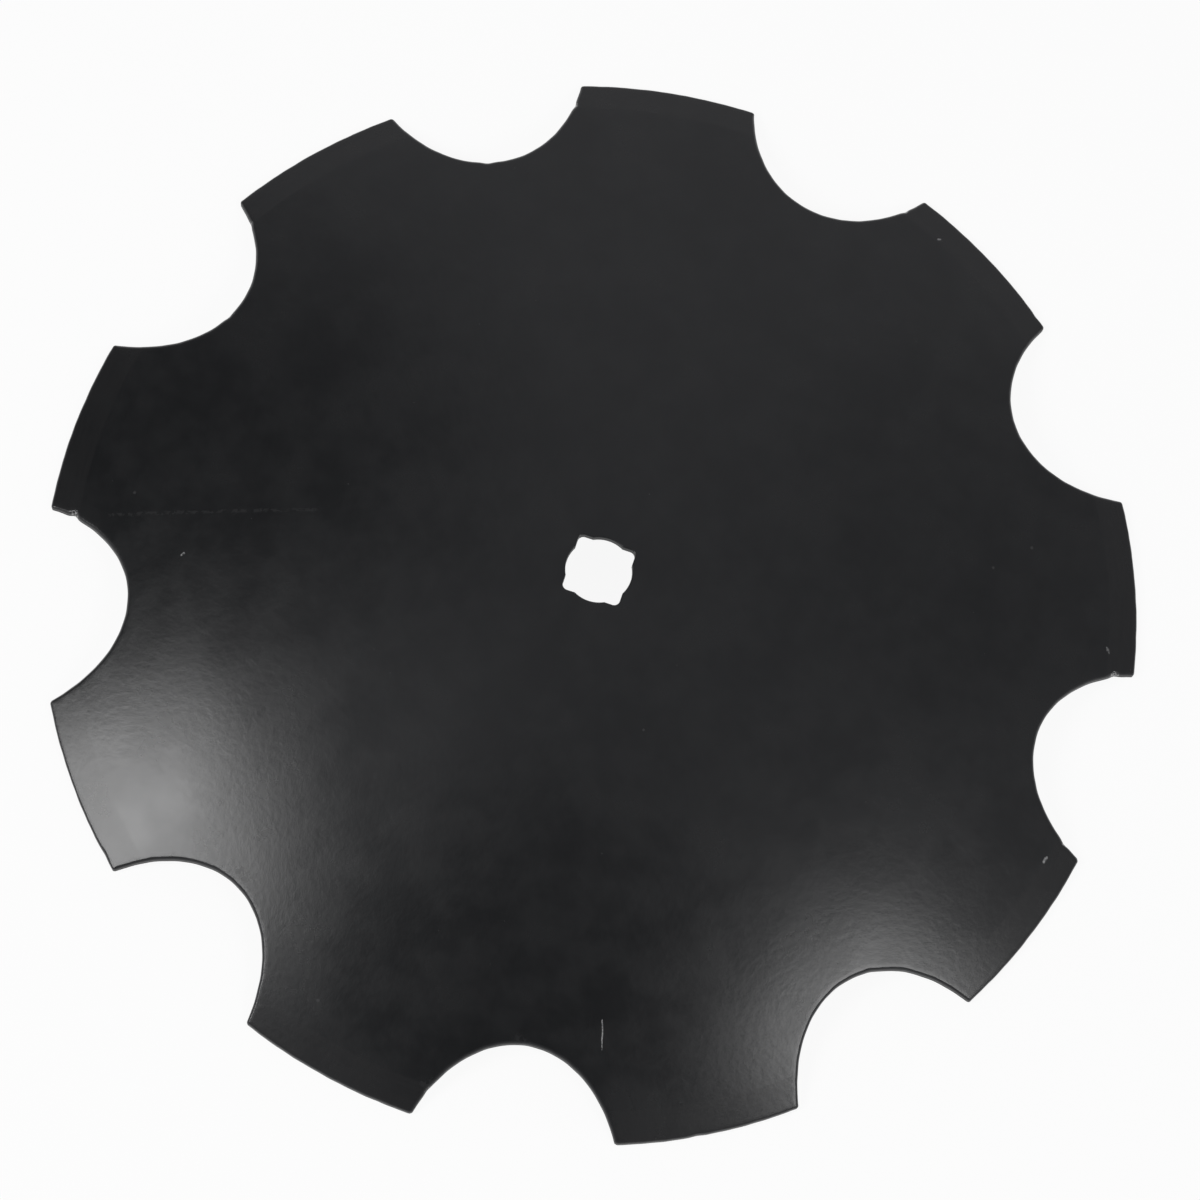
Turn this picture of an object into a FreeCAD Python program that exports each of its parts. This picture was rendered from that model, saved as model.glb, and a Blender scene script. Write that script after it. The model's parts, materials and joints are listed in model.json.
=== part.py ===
import FreeCAD, Part
import math
import os

# Notched harrow disc blade: one piece of dished spring-steel plate.
# Frame: origin at the middle of the axle hole, half way through the plate.
# +Z leaves the convex face, and +X runs through the middle of one notch.

# Plate (mm)
disc_diameter = 508.0        # over the tooth tips, a 20 inch blade
plate_thickness = 4.0
dish_depth = 44.5            # tooth plane to the middle of the hollow face

# Cutting edge: a shallow bevel ground on the convex face before the notches are cut
bevel_width = 14.0
bevel_drop = 0.4             # how far the grinding takes the rim below the dish

# Notches, each the inner end of an ellipse
notch_count = 9
notch_depth = 40.2           # rim circle to the bottom of a notch
notch_half_width = 53.9      # half axis of the ellipse along the rim
notch_half_length = 75.4     # half axis of the ellipse along the radius
notch_chamfer = 1.4          # edge of a notch broken on the convex face

# Axle hole: takes a square bar, and a round one of the next size up
square_across_flats = 27.0
square_corner_radius = 2.7
round_diameter = 30.4

disc_radius = disc_diameter / 2
hollow_radius = (disc_radius**2 + dish_depth**2) / (2 * dish_depth)
back_radius = hollow_radius + plate_thickness
dish_centre = -plate_thickness / 2 - hollow_radius
notch_middle = disc_radius - notch_depth + notch_half_length
UP = FreeCAD.Vector(0, 0, 1)
HUB = FreeCAD.Vector(0, 0, 0)
TINY = 1e-4


def hollow_height(radius):
    """Height of the hollow (lower) face at a distance from the axis."""
    return dish_centre + math.sqrt(hollow_radius**2 - radius**2)


def back_height(radius):
    """Height of the convex (upper) face, without its bevel."""
    return dish_centre + math.sqrt(back_radius**2 - radius**2)


def at(radius, height):
    """A point of the half section."""
    return FreeCAD.Vector(radius, 0, height)


def dished_plate():
    """The blank: two concentric spheres, closed by the bevel and the rim's edge."""
    bevel_start = disc_radius - bevel_width
    axis_top = at(0, back_height(0))
    axis_bottom = at(0, hollow_height(0))
    shoulder = at(bevel_start, back_height(bevel_start))
    edge_bottom = at(disc_radius, hollow_height(disc_radius))
    edge_top = at(disc_radius, back_height(disc_radius) - bevel_drop)
    back_middle = at(bevel_start / 2, back_height(bevel_start / 2))
    hollow_middle = at(disc_radius / 2, hollow_height(disc_radius / 2))
    section = Part.Wire([
        Part.Arc(axis_top, back_middle, shoulder).toShape(),
        Part.makeLine(shoulder, edge_top),
        Part.makeLine(edge_top, edge_bottom),
        Part.Arc(edge_bottom, hollow_middle, axis_bottom).toShape(),
        Part.makeLine(axis_bottom, axis_top),
    ])
    return Part.Face(section).revolve(HUB, UP, 360)


def through(outline, bottom, top):
    """A cutter: a flat outline carried from one height to another."""
    flat = Part.Face(outline)
    flat.translate(FreeCAD.Vector(0, 0, bottom))
    return flat.extrude(FreeCAD.Vector(0, 0, top - bottom))


def notch_cutter():
    """The ellipse of one notch, standing on +X."""
    reach = FreeCAD.Vector(notch_half_length, 0, 0)
    breadth = FreeCAD.Vector(0, notch_half_width, 0)
    long_axis, short_axis = reach, breadth
    if notch_half_width > notch_half_length:
        long_axis, short_axis = breadth, reach
    middle = FreeCAD.Vector(notch_middle, 0, 0)
    ellipse = Part.Ellipse(middle + long_axis, middle + short_axis, middle)
    below = hollow_height(disc_radius) - plate_thickness
    above = back_height(0) + plate_thickness
    return through(Part.Wire(ellipse.toShape()), below, above)


def axle_hole_cutter():
    """A round bore joined to a square one whose corners are rounded."""
    below = hollow_height(0) - plate_thickness
    above = back_height(0) + plate_thickness
    height = above - below
    half = square_across_flats / 2
    low_corner = FreeCAD.Vector(-half, -half, below)
    square = Part.makeBox(2 * half, 2 * half, height, low_corner)
    uprights = [edge for edge in square.Edges if stands_up(edge)]
    square = square.makeFillet(square_corner_radius, uprights)
    foot = FreeCAD.Vector(0, 0, below)
    return square.fuse(Part.makeCylinder(round_diameter / 2, height, foot, UP))


def stands_up(edge):
    """True for an edge that runs along Z."""
    ends = [vertex.Point for vertex in edge.Vertexes]
    return len(ends) == 2 and (ends[0] - ends[1]).cross(UP).Length < TINY


def on_a_notch(point):
    """True for a point on the outline of any notch, seen along Z."""
    step = 2 * math.pi / notch_count
    angle = math.remainder(math.atan2(point.y, point.x), step)
    distance = math.hypot(point.x, point.y)
    along = (distance * math.cos(angle) - notch_middle) / notch_half_length
    across = distance * math.sin(angle) / notch_half_width
    return abs(math.hypot(along, across) - 1) < TINY


def notch_edges(blade):
    """The edges where the notches meet the convex face and its bevel."""
    found = []
    for edge in blade.Edges:
        middle = edge.valueAt((edge.FirstParameter + edge.LastParameter) / 2)
        distance = math.hypot(middle.x, middle.y)
        half_way = (hollow_height(distance) + back_height(distance)) / 2
        rim_corner = disc_radius - distance < TINY
        if on_a_notch(middle) and middle.z > half_way and not rim_corner:
            found.append(edge)
    return found


def disc_blade():
    """The finished blade."""
    blade = dished_plate()
    notch = notch_cutter()
    for number in range(notch_count):
        turned = notch.copy()
        turned.rotate(HUB, UP, number * 360 / notch_count)
        blade = blade.cut(turned)
    blade = blade.makeChamfer(notch_chamfer, notch_edges(blade))
    return blade.cut(axle_hole_cutter())


os.makedirs("parts", exist_ok=True)
disc_blade().exportStep("parts/disc_blade.step")
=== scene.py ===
import json
import math

import bmesh
import bpy
import numpy as np
from mathutils import Euler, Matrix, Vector, kdtree
from mathutils.geometry import delaunay_2d_cdt


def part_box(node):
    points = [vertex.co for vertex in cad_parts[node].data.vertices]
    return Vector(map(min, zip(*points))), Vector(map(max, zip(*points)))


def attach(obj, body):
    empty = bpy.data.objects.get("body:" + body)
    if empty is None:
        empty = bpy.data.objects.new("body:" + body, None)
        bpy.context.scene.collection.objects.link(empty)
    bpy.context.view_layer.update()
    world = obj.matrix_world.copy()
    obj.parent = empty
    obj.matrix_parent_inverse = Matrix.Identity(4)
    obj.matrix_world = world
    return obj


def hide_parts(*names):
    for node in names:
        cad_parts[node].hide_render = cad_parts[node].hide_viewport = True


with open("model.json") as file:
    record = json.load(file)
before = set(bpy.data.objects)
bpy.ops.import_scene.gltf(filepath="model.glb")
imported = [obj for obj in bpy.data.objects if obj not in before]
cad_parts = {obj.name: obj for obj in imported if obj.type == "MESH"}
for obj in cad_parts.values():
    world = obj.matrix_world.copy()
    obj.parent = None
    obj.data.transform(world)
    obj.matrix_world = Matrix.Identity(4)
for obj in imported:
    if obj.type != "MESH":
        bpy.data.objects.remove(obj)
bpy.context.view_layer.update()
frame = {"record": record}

# ---------------------------------------------------------------- the dished plate
# The blade is pressed from a flat steel blank round a large sphere, so its hollow face and
# its convex back share one centre. The teeth are ground to a shallow bevel on the back.

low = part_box("disc_blade")[0]
axle_hole = frame["record"]["mounts"][0]
plate = axle_hole["dims"]["length_mm"] / 1000
hole_radius = axle_hole["dims"]["r_mm"] / 1000
rim_radius = -low[0]
dish_depth = -low[2] - plate / 2
hollow_radius = (rim_radius**2 + dish_depth**2) / (2 * dish_depth)
dish_centre = -plate / 2 - hollow_radius
bevel_width = 0.014
bevel_start = rim_radius - bevel_width
bevel_drop = 0.0004


def hollow_height(radius):
    return dish_centre + np.sqrt(hollow_radius**2 - radius**2)


def back_height(radius):
    """The convex back with the bevel ground into it, and the shoulder between them eased."""
    sphere = dish_centre + np.sqrt((hollow_radius + plate) ** 2 - radius**2)
    shoulder = dish_centre + math.sqrt((hollow_radius + plate) ** 2 - bevel_start**2)
    sphere_edge = dish_centre + math.sqrt((hollow_radius + plate) ** 2 - rim_radius**2)
    edge = sphere_edge - bevel_drop
    ground = shoulder + (radius - bevel_start) / bevel_width * (edge - shoulder)
    easing = 0.00003
    return (sphere + ground - np.sqrt((sphere - ground) ** 2 + easing**2)) / 2


def waviness(x, y):
    """How far pressing left the plate off its sphere: under 0.1 mm, and nothing at the hole."""
    slow = np.sin(31 * x + 12 * y + 0.7) * np.sin(-9 * x + 27 * y + 2.1)
    quick = np.sin(58 * x - 41 * y + 1.3) * np.sin(35 * x + 64 * y + 0.2)
    held_flat = np.clip((np.hypot(x, y) - 0.025) / 0.035, 0, 1)
    return held_flat * (0.00007 * slow + 0.00002 * quick)


# ---------------------------------------------------------------- notches and teeth
# Each notch is sheared through the plate along the inner end of an ellipse. The punch rolled
# the plate over at the convex face, and field wear rounded the corners of the teeth.

notch_count = 9
notch_depth = 0.0402
notch_half_width = 0.0539
notch_half_length = 0.0754
notch_middle = rim_radius - notch_depth + notch_half_length
tooth_corner = 0.0017
column_step = 0.0012


def half_tooth():
    """Points, inward normals and rim share, from a notch's bottom to a tooth's middle."""
    turn = np.linspace(0, math.pi / 2, 4000)
    on_x = notch_middle - notch_half_length * np.cos(turn)
    on_y = notch_half_width * np.sin(turn)
    away_x = -np.cos(turn) / notch_half_length
    away_y = np.sin(turn) / notch_half_width
    length = np.hypot(away_x, away_y)
    away_x, away_y = away_x / length, away_y / length
    centre_radius = np.hypot(on_x + tooth_corner * away_x, on_y + tooth_corner * away_y)
    last = int(np.argmax(centre_radius > rim_radius - tooth_corner))
    travelled = np.concatenate([[0], np.cumsum(np.hypot(np.diff(on_x), np.diff(on_y)))])
    stops = np.linspace(0, travelled[last], round(travelled[last] / column_step) + 1)
    flank = [np.interp(stops, travelled, v) for v in (on_x, on_y, away_x, away_y)]

    centre = np.array([on_x[last], on_y[last]]) + tooth_corner * np.array([away_x[last], away_y[last]])
    first_angle = math.atan2(-away_y[last], -away_x[last])
    last_angle = math.atan2(centre[1], centre[0])
    bend = np.linspace(first_angle, last_angle, 8)[1:]
    corner = [centre[0] + tooth_corner * np.cos(bend), centre[1] + tooth_corner * np.sin(bend)]
    corner += [-np.cos(bend), -np.sin(bend)]

    half_pitch = math.pi / notch_count
    steps = round((half_pitch - last_angle) * rim_radius / column_step)
    swing = np.linspace(last_angle, half_pitch, steps + 1)[1:]
    rim = [rim_radius * np.cos(swing), rim_radius * np.sin(swing), -np.cos(swing), -np.sin(swing)]
    shares = [np.zeros(len(stops)), np.linspace(0, 1, 8)[1:], np.ones(len(swing))]
    joined = [np.concatenate(part) for part in zip(flank, corner, rim)]
    return np.array(joined + [np.concatenate(shares)])


def whole_outline():
    """The half tooth mirrored, and that repeated for every notch, as one closed loop."""
    half = half_tooth()
    mirrored = half[:, ::-1] * np.array([[1], [-1], [1], [-1], [1]])
    tooth = np.concatenate([mirrored[:, 1:-1], half], axis=1)
    loop = []
    for number in range(notch_count):
        angle = 2 * math.pi * number / notch_count
        spin = np.array([[math.cos(angle), -math.sin(angle)], [math.sin(angle), math.cos(angle)]])
        loop.append(np.concatenate([spin @ tooth[0:2], spin @ tooth[2:4], tooth[4:5]]))
    return np.concatenate(loop, axis=1)


outline = whole_outline()
edge_points = outline[0:2].T
edge_inward = outline[2:4].T
rim_share = outline[4]
edge_count = len(edge_points)
edge_radius = np.hypot(edge_points[:, 0], edge_points[:, 1])


def along_edge(phase, *waves):
    """A smooth wander round the outline, from -1 to 1, that closes on itself."""
    place = np.arange(edge_count) / edge_count * 2 * math.pi
    return sum(np.sin(wave * place + phase * (1 + i)) for i, wave in enumerate(waves)) / len(waves)


# Stones nicked the blade here: degrees round from +X, distance from the axle, how far the
# nick spreads along the edge, how deep it is, and how bright its metal still is.
nicks = [
    (-170.1, 0.242, 0.0020, 0.0012, 0.8),
    (12.5, 0.240, 0.0024, 0.0008, 0.8),
    (-12.6, 0.240, 0.0022, 0.0005, 0.6),
    (110.4, 0.242, 0.0018, 0.0005, 0.7),
    (122.0, 0.216, 0.0022, 0.0003, 0.6),
    (161.2, 0.214, 0.0022, 0.0003, 0.6),
    (70.5, 0.243, 0.0018, 0.0004, 0.7),
    (-33.5, 0.226, 0.0030, 0.0002, 0.3),
    (-37.0, 0.217, 0.0025, 0.0002, 0.2),
    (-90.0, 0.241, 0.0022, 0.0003, 0.5),
    (-132.4, 0.254, 0.0030, 0.0003, 0.2),
    (150.0, 0.240, 0.0020, 0.0004, 0.5),
    (52.0, 0.254, 0.0025, 0.0003, 0.5),
    (-61.0, 0.254, 0.0030, 0.0003, 0.4),
]
nick_depth = np.zeros(edge_count)
nick_shine = np.zeros(edge_count)
for angle, distance, spread, depth, shine in nicks:
    middle = distance * np.array([math.cos(math.radians(angle)), math.sin(math.radians(angle))])
    nearest = edge_points[np.argmin(np.hypot(*(edge_points - middle).T))]
    nearness = np.exp(-(np.hypot(*(edge_points - nearest).T) / spread) ** 2)
    nick_depth = np.maximum(nick_depth, depth * nearness)
    nick_shine = np.maximum(nick_shine, shine * nearness)

local_plate = back_height(edge_radius) - hollow_height(edge_radius)
unevenness = 1 + 0.10 * along_edge(0.8, 37, 91, 140) + 0.05 * along_edge(2.3, 260, 411)
roll_width = ((1 - rim_share) * 0.36 * local_plate + rim_share * 0.0009) * unevenness
roll_drop = ((1 - rim_share) * 0.34 * local_plate + rim_share * 0.0012) * unevenness
roll_width = roll_width + 0.8 * nick_depth
roll_drop = np.minimum(roll_drop + 1.2 * nick_depth, local_plate - 0.0005)
edge_wander = nick_depth + 0.00010 * (1 + along_edge(1.1, 53, 120, 211))


def edge_row(inward):
    """The outline moved into the plate by a distance for each of its points."""
    return edge_points + edge_inward * (edge_wander + inward)[:, None]


# ---------------------------------------------------------------- axle hole
# One punched hole takes a square bar by its four flats and a round bar by the arcs between
# them. Its square corners are rounded, and its edge on the convex face is slightly rolled.

flat_to_axis = 0.0135
square_corner = 0.0027
hole_count = 288


def hole_outline():
    """Points round the hole, and their normals into the plate."""
    angle = np.arange(hole_count) / hole_count * 2 * math.pi
    from_flat = (angle + math.pi / 4) % (math.pi / 2) - math.pi / 4
    straight = flat_to_axis / np.cos(from_flat)
    corner_centre = (flat_to_axis - square_corner) * math.sqrt(2)
    from_corner = np.abs(np.abs(from_flat) - math.pi / 4)
    reach = np.maximum(square_corner**2 - (corner_centre * np.sin(from_corner)) ** 2, 0)
    rounded = corner_centre * np.cos(from_corner) + np.sqrt(reach)
    past_flat = np.abs(straight * np.sin(from_flat)) > flat_to_axis - square_corner
    radius = np.maximum(np.where(past_flat, rounded, straight), hole_radius)
    points = np.stack([radius * np.cos(angle), radius * np.sin(angle)], axis=1)
    ahead = np.roll(points, -1, axis=0) - np.roll(points, 1, axis=0)
    normals = np.stack([ahead[:, 1], -ahead[:, 0]], axis=1)
    return points, normals / np.hypot(*normals.T)[:, None]


hole_points, hole_outward = hole_outline()
hole_roll = 0.0007
hole_margin = 0.0012


def hole_row(outward):
    return hole_points + hole_outward * outward


# ---------------------------------------------------------------- blade mesh
# Both faces are covered with rings of points about the axle, closer together on the teeth,
# and joined to the rolled edges, the sheared walls and the hole as one closed skin.


def ring_points(first, last, step):
    """Rings of points about the axle, each ring turned half a step from the one before."""
    found = []
    for index, radius in enumerate(np.arange(first, last, step)):
        count = max(24, round(2 * math.pi * radius / step))
        angle = (np.arange(count) + 0.5 * (index % 2)) / count * 2 * math.pi
        found.append(np.stack([radius * np.cos(angle), radius * np.sin(angle)], axis=1))
    return np.concatenate(found)


def inside(points, loop):
    """True for each point inside a closed loop."""
    ahead = np.roll(loop, -1, axis=0)
    result = np.zeros(len(points), bool)
    for (ax, ay), (bx, by) in zip(loop, ahead):
        crosses = (ay > points[:, 1]) != (by > points[:, 1])
        if ay != by:
            result ^= crosses & (points[:, 0] < ax + (points[:, 1] - ay) / (by - ay) * (bx - ax))
    return result


def clear_of(points, rows, gap):
    """The points that are farther than gap from every point of these rows."""
    tree = kdtree.KDTree(sum(len(row) for row in rows))
    for index, (x, y) in enumerate(np.concatenate(rows)):
        tree.insert((x, y, 0), index)
    tree.balance()
    far = [tree.find((x, y, 0))[2] > gap for x, y in points]
    return points[np.array(far)]


def face_triangles(outer, hole, filling):
    """Triangles that fill a face between its outer row, its hole row and its own points."""
    points = np.concatenate([outer, hole, filling])
    loops = [(i, (i + 1) % len(outer)) for i in range(len(outer))]
    start = len(outer)
    loops += [(start + i, start + (i + 1) % len(hole)) for i in range(len(hole))]
    scale = 1000
    found = delaunay_2d_cdt([Vector(p * scale) for p in points], loops, [], 0, 1e-6, True)
    came_from = [origin[0] for origin in found[3]]
    triangles = np.array([[came_from[i] for i in face] for face in found[2]])
    middles = points[triangles].mean(axis=1)
    kept = np.ones(len(triangles), bool)
    on_outer = (triangles < start).all(axis=1)
    kept[on_outer] = inside(middles[on_outer], outer)
    kept[((triangles >= start) & (triangles < start + len(hole))).all(axis=1)] = False
    return triangles[kept]


class Skin:
    """Collects the blade's rows of points and the faces between them."""

    def __init__(self):
        self.points = []
        self.faces = []
        self.marks = []

    def add(self, flat, height, mark):
        """Adds points; mark is (wall, roll, bare) for all or for each of them."""
        first = len(self.points)
        self.points += [(x, y, z) for (x, y), z in zip(flat, height)]
        self.marks += [tuple(m) for m in np.broadcast_to(mark, (len(flat), 3))]
        return np.arange(first, first + len(flat))

    def strip(self, row, following):
        ahead, following_ahead = np.roll(row, -1), np.roll(following, -1)
        self.faces += [tuple(map(int, face)) for face in zip(row, ahead, following_ahead, following)]


skin = Skin()
radius_of = lambda flat: np.hypot(flat[:, 0], flat[:, 1])


def back_of(flat):
    return back_height(radius_of(flat)) + waviness(flat[:, 0], flat[:, 1])


def marks(wall, roll, bare, count):
    return np.stack([np.full(count, float(wall)), np.full(count, float(roll)), bare], axis=1)


# the rolled edge, from the convex face over and down to the wall
roll_rows = []
for bend in np.linspace(0, math.pi / 2, 9):
    flat = edge_row(roll_width * (1 - math.sin(bend)))
    height = back_of(flat) - roll_drop * (1 - math.cos(bend))
    worn = nick_shine * min(1, 0.2 + bend)
    roll_rows.append(skin.add(flat, height, marks(0, math.sin(bend), worn, edge_count)))
top_ring = edge_row(roll_width)

# the sheared wall, broken out a little unevenly, and the corner at the hollow face
foot_round = 0.0003
foot_margin = 0.0007
wall_top = back_of(edge_row(0)) - roll_drop
wall_foot = hollow_height(radius_of(edge_row(0))) + foot_round
break_out = 0.00012 * (1 + along_edge(0.4, 170, 305, 520))
for down, share in ((0.33, 0.6), (0.7, 1.0), (1.0, 0.2)):
    flat = edge_row(break_out * share)
    height = wall_top + (wall_foot - wall_top) * down
    roll_rows.append(skin.add(flat, height, marks(1, 1, nick_shine * 0.5, edge_count)))
foot = edge_row(foot_round)
unworn = np.zeros(edge_count)
foot_height = hollow_height(radius_of(foot))
roll_rows.append(skin.add(foot, foot_height, marks(0.6, 1, unworn, edge_count)))
hollow_ring = edge_row(foot_margin)
ring_height = hollow_height(radius_of(hollow_ring))
roll_rows.append(skin.add(hollow_ring, ring_height, marks(0, 0, unworn, edge_count)))
for row, following in zip(roll_rows, roll_rows[1:]):
    skin.strip(row, following)

# the hole, rolled at the convex face and square at the hollow one
hole_rows = []
for bend in np.linspace(0, math.pi / 2, 5):
    flat = hole_row(hole_roll * (1 - math.sin(bend)))
    height = back_of(flat) - hole_roll * (1 - math.cos(bend))
    hole_rows.append(skin.add(flat, height, (0, math.sin(bend), 0)))
for outward, lift in ((0.0, 0.002), (0.0, 0.0002), (0.0002, 0.0), (hole_margin, 0.0)):
    flat = hole_row(outward)
    wall = 1.0 if outward == 0 else 0.0
    hole_rows.append(skin.add(flat, hollow_height(radius_of(flat)) + lift, (wall, wall, 0)))
for row, following in zip(hole_rows, hole_rows[1:]):
    skin.strip(row, following)

# the convex face
first_ring = 0.0185
one_ring = 1e-6
shoulder_radii = bevel_start + np.array([-0.0005, 0, 0.0005])
shoulder_rings = [ring_points(r, r + one_ring, 0.0012) for r in shoulder_radii]
toothed = ring_points(0.2065, rim_radius, 0.0015)
toothed = toothed[np.abs(radius_of(toothed) - bevel_start) > 0.0010]
filling = np.concatenate([ring_points(first_ring, 0.205, 0.003), toothed, *shoulder_rings])
filling = filling[inside(filling, top_ring)]
filling = clear_of(filling, [top_ring, hole_row(hole_roll)], 0.0008)
back_points = skin.add(filling, back_of(filling), (0, 0, 0))
joined = np.concatenate([roll_rows[0], hole_rows[0], back_points])
back_faces = face_triangles(top_ring, hole_row(hole_roll), filling)
skin.faces += [tuple(map(int, joined[face])) for face in back_faces]

# the hollow face
within, outside = ring_points(first_ring, 0.208, 0.005), ring_points(0.211, rim_radius, 0.003)
filling = np.concatenate([within, outside])
filling = filling[inside(filling, hollow_ring)]
filling = clear_of(filling, [hollow_ring, hole_row(hole_margin)], 0.0014)
inner_heights = hollow_height(radius_of(filling)) + waviness(filling[:, 0], filling[:, 1])
hollow_points = skin.add(filling, inner_heights, (0, 0, 0))
joined = np.concatenate([roll_rows[-1], hole_rows[-1], hollow_points])
hollow_faces = face_triangles(hollow_ring, hole_row(hole_margin), filling)
skin.faces += [tuple(map(int, joined[face])) for face in hollow_faces]

mesh = bpy.data.meshes.new("notched_blade")
mesh.from_pydata(skin.points, [], skin.faces)
for column, name in enumerate(("sheared", "rolled", "bare_metal")):
    attribute = mesh.attributes.new(name, "FLOAT", "POINT")
    attribute.data.foreach_set("value", np.array(skin.marks, np.float32)[:, column])
shape = bmesh.new()
shape.from_mesh(mesh)
bmesh.ops.recalc_face_normals(shape, faces=shape.faces)
shape.to_mesh(mesh)
shape.free()
mesh.shade_smooth()
blade = bpy.data.objects.new("notched_blade", mesh)
bpy.context.scene.collection.objects.link(blade)
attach(blade, "root")
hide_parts("disc_blade")

# ---------------------------------------------------------------- black paint
# A thin semi-gloss black coat, sprayed over the whole blade. It has a fine orange peel and cloudy
# handling marks, is dull on the sheared walls, where a darker black is painted in as painted shade, and
# is knocked off at the nicks.


def group(name, inputs, outputs):
    """An empty node group with these sockets, and its two ends."""
    tree = bpy.data.node_groups.new(name, "ShaderNodeTree")
    for socket, (kind, value) in inputs.items():
        made = tree.interface.new_socket(socket, in_out="INPUT", socket_type=kind)
        made.default_value = value
    for socket, kind in outputs.items():
        tree.interface.new_socket(socket, in_out="OUTPUT", socket_type=kind)
    return tree, tree.nodes.new("NodeGroupInput"), tree.nodes.new("NodeGroupOutput")


def add(tree, kind, feeds=None, **settings):
    """One node: settings are its properties, and feeds its inputs, as values or sockets."""
    node = tree.nodes.new("ShaderNode" + kind)
    for name, value in settings.items():
        setattr(node, name, value)
    for socket, value in (feeds or {}).items():
        if isinstance(value, bpy.types.NodeSocket):
            tree.links.new(value, node.inputs[socket])
        else:
            node.inputs[socket].default_value = value
    return node


def maths(tree, operation, first, second=0.0):
    return add(tree, "Math", {0: first, 1: second}, operation=operation).outputs[0]


def ramp(tree, value, low_end, high_end, out_low=0.0, out_high=1.0):
    """Rescales a value smoothly between two ends."""
    ends = {"From Min": low_end, "From Max": high_end, "To Min": out_low, "To Max": out_high}
    node = add(tree, "MapRange", {"Value": value, **ends}, interpolation_type="SMOOTHSTEP")
    return node.outputs["Result"]


def noise(tree, place, scale, detail=2.0, roughness=0.5):
    feeds = {"Vector": place, "Scale": scale, "Detail": detail, "Roughness": roughness}
    return add(tree, "TexNoise", feeds).outputs["Fac"]


FLOAT, PLACE = "NodeSocketFloat", "NodeSocketVector"

# cloudy marks where the coat was handled and wiped
clouds, clouds_in, clouds_out = group("handling_clouds", {"Place": (PLACE, (0, 0, 0))}, {"Mask": FLOAT})
broad = noise(clouds, clouds_in.outputs["Place"], 26, 3, 0.55)
fine = noise(clouds, clouds_in.outputs["Place"], 85, 4, 0.6)
mixed = maths(clouds, "ADD", maths(clouds, "MULTIPLY", broad, 0.6), maths(clouds, "MULTIPLY", fine, 0.4))
clouds.links.new(ramp(clouds, mixed, 0.36, 0.64), clouds_out.inputs["Mask"])

# the orange peel of the sprayed coat
peel, peel_in, peel_out = group("orange_peel", {"Place": (PLACE, (0, 0, 0))}, {"Height": FLOAT})
lumps = noise(peel, peel_in.outputs["Place"], 330, 2, 0.5)
grit = noise(peel, peel_in.outputs["Place"], 1100, 2, 0.5)
peeled = maths(peel, "ADD", maths(peel, "MULTIPLY", lumps, 0.8), maths(peel, "MULTIPLY", grit, 0.2))
peel.links.new(peeled, peel_out.inputs["Height"])

# marks that run round the blade, left by grinding and by the roller
turned, turned_in, turned_out = group("turning_marks", {"Place": (PLACE, (0, 0, 0))}, {"Mask": FLOAT})
parts = add(turned, "SeparateXYZ", {0: turned_in.outputs["Place"]})
flat_place = add(turned, "CombineXYZ", {0: parts.outputs[0], 1: parts.outputs[1]})
distance = add(turned, "VectorMath", {0: flat_place.outputs[0]}, operation="LENGTH").outputs["Value"]
angle = maths(turned, "ARCTAN2", parts.outputs[1], parts.outputs[0])
across = maths(turned, "MULTIPLY", distance, 1400)
round_about = maths(turned, "MULTIPLY", angle, 9)
polar = add(turned, "CombineXYZ", {0: across, 1: round_about})
streaks = noise(turned, polar.outputs[0], 1.0, 3, 0.6)
turned.links.new(ramp(turned, streaks, 0.3, 0.7), turned_out.inputs["Mask"])

# one straight scratch or rub between two places
scratch_inputs = {
    "Place": (PLACE, (0, 0, 0)),
    "From": (PLACE, (0, 0, 0)),
    "To": (PLACE, (1, 0, 0)),
    "Width": (FLOAT, 0.001),
}
scratch, scratch_in, scratch_out = group("scratch", scratch_inputs, {"Mask": FLOAT})
start, end = scratch_in.outputs["From"], scratch_in.outputs["To"]
on_blade = scratch_in.outputs["Place"]


def vectors(operation, first, second, output=0):
    node = add(scratch, "VectorMath", {0: first, 1: second}, operation=operation)
    return node.outputs[output]


ragged = add(scratch, "TexNoise", {"Vector": on_blade, "Scale": 180.0, "Detail": 3.0})
shaken = vectors("SUBTRACT", ragged.outputs["Color"], (0.5, 0.5, 0.5))
shaken = add(scratch, "VectorMath", {0: shaken, "Scale": 0.0016}, operation="SCALE").outputs[0]
here = vectors("MULTIPLY", vectors("ADD", on_blade, shaken), (1, 1, 0))
way = vectors("SUBTRACT", end, start)
gone = vectors("SUBTRACT", here, start)
onto = vectors("DOT_PRODUCT", gone, way, "Value")
whole = vectors("DOT_PRODUCT", way, way, "Value")
share = add(scratch, "Clamp", {"Value": maths(scratch, "DIVIDE", onto, whole)}).outputs[0]
foot_point = add(scratch, "VectorMath", {0: way, "Scale": share}, operation="SCALE").outputs[0]
off = vectors("DISTANCE", gone, foot_point, "Value")
near = ramp(scratch, maths(scratch, "DIVIDE", off, scratch_in.outputs["Width"]), 1.0, 0.3)
patchy = ramp(scratch, noise(scratch, on_blade, 420, 4, 0.65), 0.42, 0.56)
scratch.links.new(maths(scratch, "MULTIPLY", near, patchy), scratch_out.inputs["Mask"])

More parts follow.
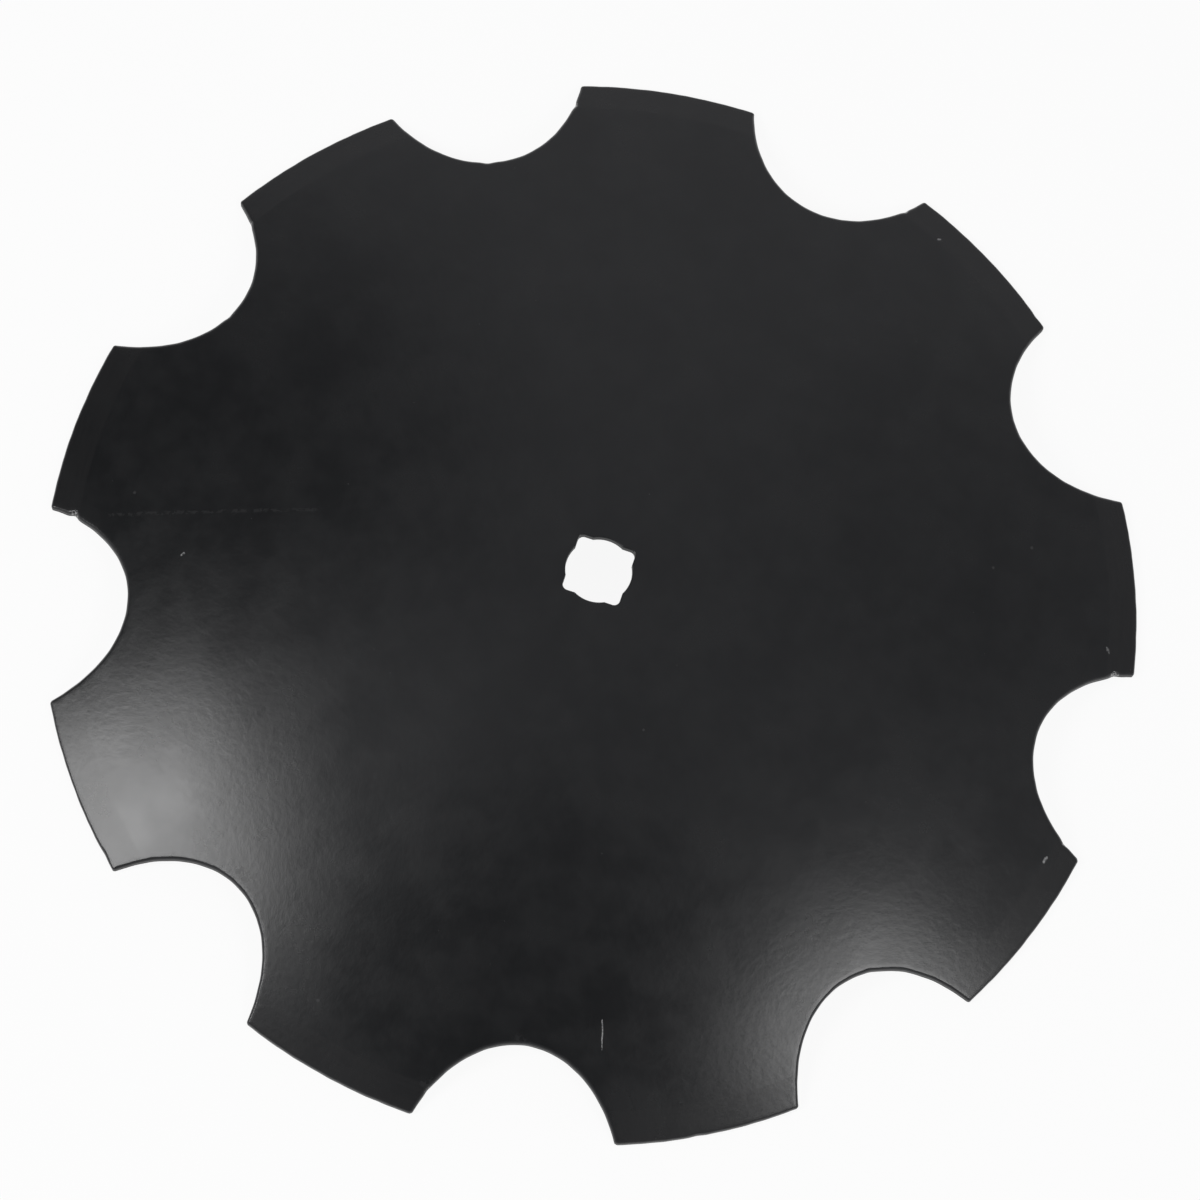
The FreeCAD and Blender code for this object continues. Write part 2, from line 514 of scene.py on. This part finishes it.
# grains of dust and dried specks, far apart
speck_inputs = {"Place": (PLACE, (0, 0, 0)), "Scale": (FLOAT, 60.0)}
specks, specks_in, specks_out = group("specks", speck_inputs, {"Mask": FLOAT})
speck_feeds = {"Vector": specks_in.outputs["Place"], "Scale": specks_in.outputs["Scale"]}
cell = add(specks, "TexVoronoi", speck_feeds)
chosen = add(specks, "SeparateColor", {0: cell.outputs["Color"]})
size = ramp(specks, chosen.outputs[0], 0.86, 1.0, 0.0, 0.06)
spot = maths(specks, "LESS_THAN", cell.outputs["Distance"], size)
specks.links.new(spot, specks_out.inputs["Mask"])

paint = bpy.data.materials.new("black_paint")
paint.use_nodes = True
tree = paint.node_tree
tree.nodes.clear()
place = add(tree, "TexCoord").outputs["Object"]


def placed(shared, **values):
    """The output of a shared effect, placed on the blade."""
    node = tree.nodes.new("ShaderNodeGroup")
    node.node_tree = shared
    tree.links.new(place, node.inputs["Place"])
    for socket, value in values.items():
        node.inputs[socket].default_value = value
    return node.outputs[0]


sheared = add(tree, "Attribute", attribute_name="sheared").outputs["Fac"]
rolled = add(tree, "Attribute", attribute_name="rolled").outputs["Fac"]
bare = add(tree, "Attribute", attribute_name="bare_metal").outputs["Fac"]
cloud = placed(clouds)
turning = placed(turned)
speck = placed(specks, Scale=70.0)
fine_speck = placed(specks, Scale=190.0)

# the ground band on the teeth, told by its distance from the axle
parts = add(tree, "SeparateXYZ", {0: place})
level = add(tree, "CombineXYZ", {0: parts.outputs[0], 1: parts.outputs[1]})
distance = add(tree, "VectorMath", {0: level.outputs[0]}, operation="LENGTH").outputs["Value"]
bevel = ramp(tree, distance, bevel_start - 0.0003, bevel_start + 0.0003)

# bright metal: the nicks, broken up finely, and a few scratches through the coat
chipping = ramp(tree, noise(tree, place, 900, 5, 0.7), 0.40, 0.60)
bare = maths(tree, "MULTIPLY", bare, chipping)
bare = ramp(tree, bare, 0.25, 0.45)
scratches = [
    ((0.0655, -0.1897), (0.0697, -0.2018), 0.0003),
    ((0.2335, 0.0530), (0.2345, 0.0510), 0.0009),
    ((0.2340, -0.0535), (0.2348, -0.0515), 0.0009),
    ((0.1005, 0.2196), (0.1022, 0.2200), 0.0007),
    ((-0.1829, -0.0490), (-0.1822, -0.0478), 0.0007),
    ((0.0675, -0.2275), (0.0690, -0.2268), 0.0008),
]
marked = [placed(scratch, From=(*a, 0), To=(*b, 0), Width=w) for a, b, w in scratches]
for mark in marked:
    bare = maths(tree, "MAXIMUM", bare, mark)

# dull rubs that didn't go through
rubs = [
    ((-0.1293, -0.0117), (-0.2219, -0.0392), 0.0012),
    ((0.0330, -0.2090), (0.0380, -0.2110), 0.0030),
    ((-0.0005, -0.2400), (0.0030, -0.2380), 0.0026),
    ((-0.1095, -0.1772), (-0.1060, -0.1800), 0.0030),
    ((-0.1015, -0.1565), (-0.1060, -0.1610), 0.0022),
]
rubbed = placed(scratch, From=(*rubs[0][0], 0), To=(*rubs[0][1], 0), Width=rubs[0][2])
for a, b, w in rubs[1:]:
    rubbed = maths(tree, "MAXIMUM", rubbed, placed(scratch, From=(*a, 0), To=(*b, 0), Width=w))


def blend(factor, first, second):
    node = add(tree, "Mix", {0: factor}, data_type="RGBA")
    for socket, value in ((6, first), (7, second)):
        if isinstance(value, bpy.types.NodeSocket):
            tree.links.new(value, node.inputs[socket])
        else:
            node.inputs[socket].default_value = (*value, 1)
    return node.outputs[2]


def between(factor, first, second):
    """A number that goes from one to the other as the factor goes from 0 to 1."""
    return add(tree, "Mix", {0: factor, 2: first, 3: second}, data_type="FLOAT").outputs[0]


coat = blend(cloud, (0.0095, 0.0100, 0.0108), (0.0125, 0.0130, 0.0138))
ground = maths(tree, "MULTIPLY", bevel, turning)
dusty = maths(tree, "MULTIPLY", maths(tree, "MAXIMUM", speck, fine_speck), 0.25)
coat = blend(ground, coat, (0.0135, 0.0135, 0.0140))
# painted shade: the sheared walls get a darker black than the coat, so they stay dark where they face
# the white floor
coat = blend(sheared, coat, (0.0030, 0.0030, 0.0030))
coat = blend(maths(tree, "MULTIPLY", rubbed, 0.35), coat, (0.018, 0.018, 0.019))
coat = blend(dusty, coat, (0.10, 0.10, 0.10))
coat = blend(bare, coat, (0.34, 0.34, 0.34))

gloss = between(cloud, 0.225, 0.275)
gloss = between(maths(tree, "MULTIPLY", bevel, 0.5), gloss, 0.28)
gloss = between(rolled, gloss, 0.30)
gloss = between(sheared, gloss, 0.62)
gloss = between(rubbed, gloss, 0.32)
gloss = between(bare, gloss, 0.42)

torn = maths(tree, "MULTIPLY", sheared, noise(tree, place, 700, 4, 0.6))
height = maths(tree, "MULTIPLY", placed(peel), 0.00010)
height = maths(tree, "ADD", height, maths(tree, "MULTIPLY", ground, 0.00002))
height = maths(tree, "ADD", height, maths(tree, "MULTIPLY", torn, 0.00040))
height = maths(tree, "SUBTRACT", height, maths(tree, "MULTIPLY", bare, 0.00012))
bump = add(tree, "Bump", {"Strength": 0.5, "Distance": 1.0, "Height": height})
finish = {"Base Color": coat, "Roughness": gloss, "Metallic": bare, "Normal": bump.outputs[0]}
shader = add(tree, "BsdfPrincipled", {**finish, "IOR": 1.5})
add(tree, "OutputMaterial", {"Surface": shader.outputs[0]})
mesh.materials.append(paint)

# ---------------------------------------------------------------- studio
# The blade lies on its teeth on a plain white floor, between two soft boxes. The dim grey room
# has lighter and darker parts, which the gloss shows, and turns white towards the floor.

floor_mesh = bpy.data.meshes.new("floor")
reach = 12.0
corners = [(x * reach, y * reach, low[2]) for x, y in ((-1, -1), (1, -1), (1, 1), (-1, 1))]
floor_mesh.from_pydata(corners, [], [(0, 1, 2, 3)])
floor = bpy.data.objects.new("floor", floor_mesh)
bpy.context.scene.collection.objects.link(floor)
white = bpy.data.materials.new("white_floor")
white.use_nodes = True
tree = white.node_tree
tree.nodes.clear()
seen = add(tree, "LightPath")
looked_at = maths(tree, "MAXIMUM", seen.outputs["Is Camera Ray"], seen.outputs["Is Glossy Ray"])
looked_at = maths(tree, "MAXIMUM", looked_at, seen.outputs["Is Transmission Ray"])
lit = add(tree, "BsdfDiffuse", {"Color": (0.88, 0.88, 0.88, 1)})
glow = add(tree, "Emission", {"Color": (1, 1, 1, 1), "Strength": 1.0})
whiteness = maths(tree, "MULTIPLY", looked_at, 0.92)
floor_mix = add(tree, "MixShader", {0: whiteness, 1: lit.outputs[0], 2: glow.outputs[0]})
add(tree, "OutputMaterial", {"Surface": floor_mix.outputs[0]})
floor_mesh.materials.append(white)


def soft_box(name, where, width, length, radiance):
    """A soft box that faces the blade, of a given brightness over its whole face."""
    lamp = bpy.data.lights.new(name, "AREA")
    lamp.shape = "RECTANGLE"
    lamp.size = width
    lamp.size_y = length
    lamp.energy = radiance * math.pi * width * length
    holder = bpy.data.objects.new(name, lamp)
    holder.location = where
    holder.rotation_euler = (-Vector(where)).to_track_quat("-Z", "Y").to_euler()
    bpy.context.scene.collection.objects.link(holder)


soft_box("left_soft_box", (-1.32, -0.76, 1.60), 0.79, 0.90, 9.0)
soft_box("right_soft_box", (1.32, -0.60, 1.60), 0.60, 0.70, 7.0)

room = bpy.data.worlds.new("studio_room")
bpy.context.scene.world = room
room.use_nodes = True
tree = room.node_tree
tree.nodes.clear()
towards = add(tree, "TexCoord").outputs["Generated"]
upward = add(tree, "SeparateXYZ", {0: towards}).outputs[2]


def patch(direction, outer, inner, strength):
    """A soft round patch of the room, told by how near a direction is to its middle."""
    middle = Vector(direction).normalized()
    cosine = add(tree, "VectorMath", {0: towards, 1: tuple(middle)}, operation="DOT_PRODUCT")
    far, near_by = math.cos(math.radians(outer)), math.cos(math.radians(inner))
    return ramp(tree, cosine.outputs["Value"], far, near_by, 0.0, strength)


room_grey = 0.315
grey = maths(tree, "ADD", room_grey, patch((-0.91, 4.09, 1.6), 60, 3, 0.16))
grey = maths(tree, "ADD", grey, patch((-0.58, -0.13, 1.6), 22, 3, 0.20))
grey = maths(tree, "SUBTRACT", grey, patch((-1.40, 0.43, 1.6), 34, 3, 0.33))
grey = maths(tree, "SUBTRACT", grey, patch((0.08, -0.60, 1.6), 24, 3, 0.30))
grey = maths(tree, "SUBTRACT", grey, patch((0.89, 1.08, 1.6), 20, 3, 0.10))
grey = maths(tree, "MAXIMUM", grey, 0.02)
cove = ramp(tree, upward, 0.30, 0.10)
grey = add(tree, "Mix", {0: cove, 2: grey, 3: 1.0}, data_type="FLOAT").outputs[0]
air = add(tree, "Background", {"Color": (0.985, 0.985, 1.02, 1), "Strength": grey})
add(tree, "OutputWorld", {"Surface": air.outputs[0]})

camera = bpy.data.cameras.new("camera")
camera.lens = 118.13
camera.sensor_width = 36
holder = bpy.data.objects.new("camera", camera)
holder.location = (0.05626, -0.49066, 1.71212)
holder.rotation_euler = Euler([math.radians(a) for a in (15.3236, -3.3576, 18.2082)], "XYZ")
bpy.context.scene.collection.objects.link(holder)
bpy.context.scene.camera = holder
bpy.context.scene.view_settings.view_transform = "Standard"
